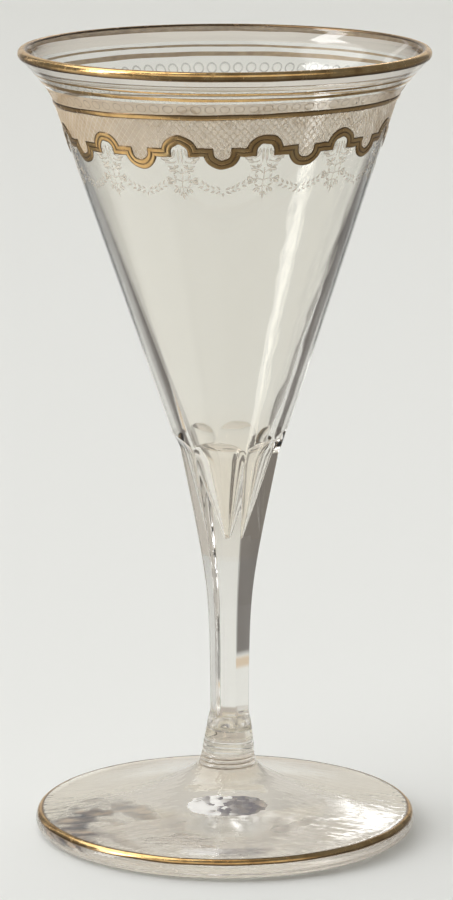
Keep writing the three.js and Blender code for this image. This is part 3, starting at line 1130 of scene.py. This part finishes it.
def make_sprays():
    """Sprays under the arches: a palmette, then a stem with curling branches and a small fleuron."""
    strokes = Strokes()
    down = -pi / 2
    # Leaves and branches by their foot and turn, with the sizes that their functions take
    right_half = [
        leaf_path(0.3, 0.7, down, 2.8, 0.46),
        leaf_path(0.8, 0.6, down + 0.2, 2.1, 0.48, 0.5),
        curl_path(1.2, 0.0, down + 0.1, 2.4, 2.6, 0.56),
        curl_path(0.7, -1.5, down + 1.0, 1.5, 2.0, 0.5),
        leaf_path(0.4, -2.1, down + 0.8, 1.3, 0.46, 0.6),
        curl_path(0.1, -3.7, 0.85, -1.3, 2.2, 0.46),
        leaf_path(0.9, -2.9, 1.3, 0.9),
        leaf_path(1.3, -2.75, 0.4, 1.1, 0.42),
        leaf_path(0.9, -3.1, -0.9, 0.8),
        curl_path(0.1, -4.9, 0.45, -1.5, 2.7, 0.46),
        leaf_path(1.0, -4.55, 1.1, 0.9),
        leaf_path(1.7, -4.6, 0.3, 1.1, 0.42),
        leaf_path(1.1, -4.7, -1.1, 0.9),
        curl_path(0.05, -5.9, -0.1, -1.1, 1.9, 0.44),
        leaf_path(0.8, -6.0, 0.6, 0.9),
        leaf_path(0.6, -6.2, -1.3, 0.9),
        leaf_path(0.1, -6.8, down + 0.7, 0.9, 0.38),
    ]
    for repeat in range(BORDER_REPEATS):
        middle = (repeat + 0.5) * PERIOD
        for shape in right_half:
            for hand in (-1, 1):
                stretch = rng.uniform(0.85, 1.1)
                strokes.add([(middle + hand * u, v, w * stretch) for u, v, w in shape], on_bowl)
        stem = [(middle + SPRAY_STEM_WAVE * sin(v * 1.3), v, SPRAY_STEM_STROKE)
                for v in evenly(*SPRAY_STEM, 12)]
        strokes.add(stem, on_bowl)
        strokes.add(leaf_path(middle, SPRAY_TIP, down, 1.2), on_bowl)
    return strokes.piece("etched_sprays")


def make_swags():
    """Leafy garlands that dip between the sprays, under the lobes."""
    strokes = Strokes()
    reach = PERIOD / 2 - SWAG_GAP
    dip = lambda u: SWAG_LOW + SWAG_RISE * (u / reach) ** 2
    for repeat in range(BORDER_REPEATS):
        middle = repeat * PERIOD
        for u in evenly(-reach, reach, SWAG_STEPS):
            slope = atan(2 * SWAG_RISE * u / reach ** 2)
            way = slope + (pi if u < 0 else 0)
            for hand in (-1, 1):
                foot = dip(u) + hand * SWAG_SPLIT
                turn = way + hand * rng.uniform(0.45, 0.8) * (1 if u > 0 else -1)
                length = rng.uniform(0.8, 1.15)
                strokes.add(leaf_path(middle + u, foot, turn, length), on_bowl)
        strokes.add(leaf_path(middle, dip(0) - 0.3, -pi / 2, 0.7), on_bowl)
    return strokes.piece("etched_swags")


for etched in (make_ground(), make_chain(), make_trellis(), make_sprays(), make_swags()):
    finished(etched, "clear_glass")


# Stage. A direction is given by its turn from straight behind, to the right, and its height over
# the horizon
def make_floor():
    """Pale floor, painted darker towards the back as if the light fell off. The glass also sees dark
    flags behind it on each side, out of the picture, painted shadows behind the foot and to its right,
    and painted light under the foot; reflections see the pale floor only close to the foot, straight
    behind and towards the window.

    Places on the floor are in metres from the middle of the foot."""
    material, graph = new_material("floor_look")
    spot = graph.spot()
    place = graph.axes(spot)
    # Painted shade: the floor darkens towards the back as if the light fell off
    pale = graph.ramp(graph.level(place["Y"], -0.1, 1.3, 0, 1), [
        (0.0, (0.84, 0.85, 0.835)),
        (1.0, (0.72, 0.725, 0.70)),
    ])
    path = graph.node("ShaderNodeLightPath").outputs
    through = path["Is Transmission Ray"]
    turn = graph.math("ARCTAN2", place["X"], place["Y"])
    distance = graph.length(spot)
    left_side = graph.sector(turn, -42, 18, 2)
    left = graph.product(left_side, graph.rise(distance, 0.118, 0.128),
                         graph.level(turn, radians(-40), radians(-33), 1.0, 0.6))
    right = graph.product(graph.sector(turn, 32, 11, 2), graph.rise(distance, 0.10, 0.11),
                          graph.rise(distance, 0.34, 0.28))
    # Painted shadow of the foot to its right, seen only through the glass
    near = graph.product(graph.sector(turn, 38, 6, 2), graph.rise(distance, 0.070, 0.076),
                         graph.rise(distance, 0.112, 0.10))
    dark = graph.product(graph.math("ADD", graph.math("ADD", left, right), near), through)
    amber = graph.product(left_side, graph.within(distance, 0.114, 0.005, 0.003), through, 0.6)
    # Painted shadow on the floor just behind the foot, seen only through the glass
    behind = graph.product(graph.sector(turn, 0, 40, 12),
                           graph.within(distance, 0.044, 0.022, 0.008), through)
    lit = graph.math("ADD", graph.sector(turn, -105, 29, 8), graph.sector(turn, 0, 22, 4))
    around = graph.product(
        graph.math("SUBTRACT", 1, lit),
        graph.rise(distance, 0.045, 0.075),
        graph.math("SUBTRACT", path["Is Glossy Ray"], through))
    colour = graph.mix(dark, pale, (0.16, 0.145, 0.135, 1))
    colour = graph.mix(amber, colour, (0.62, 0.40, 0.17, 1))
    colour = graph.mix(behind, colour, (0.52, 0.475, 0.43, 1))
    # Painted light: the floor under the foot glows, for rays through the glass only
    painted_light_under_foot = graph.product(
        graph.rise(distance, 0.036, 0.031),
        graph.level(distance, 0.006, 0.014, 0.3, 0.72),
        through)
    graph.principled(graph.mix(around, colour, (0.19, 0.195, 0.205, 1)), {
        "Emission Color": (0.48, 0.43, 0.35, 1),
        "Emission Strength": painted_light_under_foot,
        "Roughness": 0.85,
        "Specular IOR Level": 0.1,
    })
    size, drop = 4.0, -0.0002
    mesh = bpy.data.meshes.new("floor")
    corners = [(-size, -size, drop), (size, -size, drop), (size, size, drop), (-size, size, drop)]
    mesh.from_pydata(corners, [], [(0, 1, 2, 3)])
    mesh.materials.append(material)
    floor = bpy.data.objects.new("floor", mesh)
    bpy.context.scene.collection.objects.link(floor)


def make_world():
    """Soft studio: a pale wall behind, a dark room in front, a window on the left and light above.

    Reflections see a darker room with a few bright patches, and rays through the glass a dark patch."""
    world = bpy.data.worlds.new("studio")
    bpy.context.scene.world = world
    world.use_nodes = True
    graph = Graph(world.node_tree)
    way = graph.node("ShaderNodeTexCoord").outputs["Generated"]
    axes = graph.axes(way)
    turn = graph.math("ARCTAN2", axes["X"], axes["Y"])
    height = graph.math("ARCSINE", axes["Z"])

    def patch(middle, half, low, high, soft):
        """Soft-edged patch of the room, given in degrees."""
        return graph.product(graph.sector(turn, middle, half, soft),
                             graph.sector(height, (low + high) / 2, (high - low) / 2, soft))

    path = graph.node("ShaderNodeLightPath").outputs
    from_behind = graph.rise(axes["Y"], -0.1, 0.5)
    from_front = graph.product(graph.rise(axes["Y"], -0.3, -0.45), graph.sector(height, 42, 16, 4))
    room = graph.mix(from_behind, (0.15, 0.13, 0.11, 1), (0.66, 0.655, 0.63, 1))
    through = graph.mix(from_behind, (0.50, 0.48, 0.44, 1), (0.66, 0.63, 0.575, 1))
    through = graph.mix(patch(-37, 23, -10, 8, 3), through, (0.19, 0.175, 0.16, 1))
    mirrored_room = (0.14, 0.15, 0.165, 1)
    pale_wall = patch(0, 22, -12, 34, 3)
    skylight = patch(-94, 15, 41, 51, 1.5)
    right_gleam = patch(7.5, 1.5, 19, 28, 1.2)
    left_gleam = patch(-41, 2.5, 0, 40, 0.8)
    for lit, colour in (
        (pale_wall, (0.62, 0.61, 0.58, 1)),
        (skylight, (9.0, 9.1, 9.2, 1)),
        (right_gleam, (5.0, 5.0, 5.0, 1)),
        (left_gleam, (1.2, 1.2, 1.2, 1)),
        (from_front, (0.85, 0.82, 0.76, 1)),
    ):
        mirrored_room = graph.mix(lit, mirrored_room, colour)
    room = graph.mix(path["Is Glossy Ray"], room, mirrored_room)
    room = graph.mix(path["Is Transmission Ray"], room, through)
    above = graph.node("ShaderNodeVectorMath", {0: way, 1: (-0.45, 0.25, 0.857)},
                       operation="DOT_PRODUCT").outputs["Value"]
    soft_light = graph.product(graph.rise(above, 0.70, 0.86), path["Is Diffuse Ray"])
    clear_light = graph.rise(above, 0.92, 0.94)
    room = graph.mix(graph.math("MAXIMUM", soft_light, clear_light), room, (1.9, 1.9, 1.87, 1))
    window = graph.mix(path["Is Diffuse Ray"], patch(-102, 7, 4, 44, 1), patch(-92, 16, 4, 44, 1.5))
    upper_part = graph.product(graph.rise(height, radians(22), radians(28)), path["Is Glossy Ray"])
    window_light = graph.mix(upper_part, (5.0, 5.05, 5.1, 1), (7.8, 7.9, 8.1, 1))
    room = graph.mix(window, room, window_light)
    graph.surface("ShaderNodeBackground", {
        "Color": graph.mix(path["Is Camera Ray"], room, (0.70, 0.705, 0.68, 1)),
        "Strength": 1.0,
    })


def make_camera():
    data = bpy.data.cameras.new("camera")
    data.sensor_width = 36.0
    data.lens = CAMERA_LENS
    camera = bpy.data.objects.new("camera", data)
    camera.location = CAMERA_PLACE
    camera.rotation_euler = (pi / 2 - CAMERA_PITCH, 0, 0)
    bpy.context.scene.collection.objects.link(camera)
    bpy.context.scene.camera = camera


make_floor()
make_world()
make_camera()

scene = bpy.context.scene
scene.view_settings.view_transform = "Standard"
scene.cycles.use_denoising = True
scene.cycles.max_bounces = 32
scene.cycles.transmission_bounces = 32
scene.cycles.glossy_bounces = 16
scene.cycles.transparent_max_bounces = 48
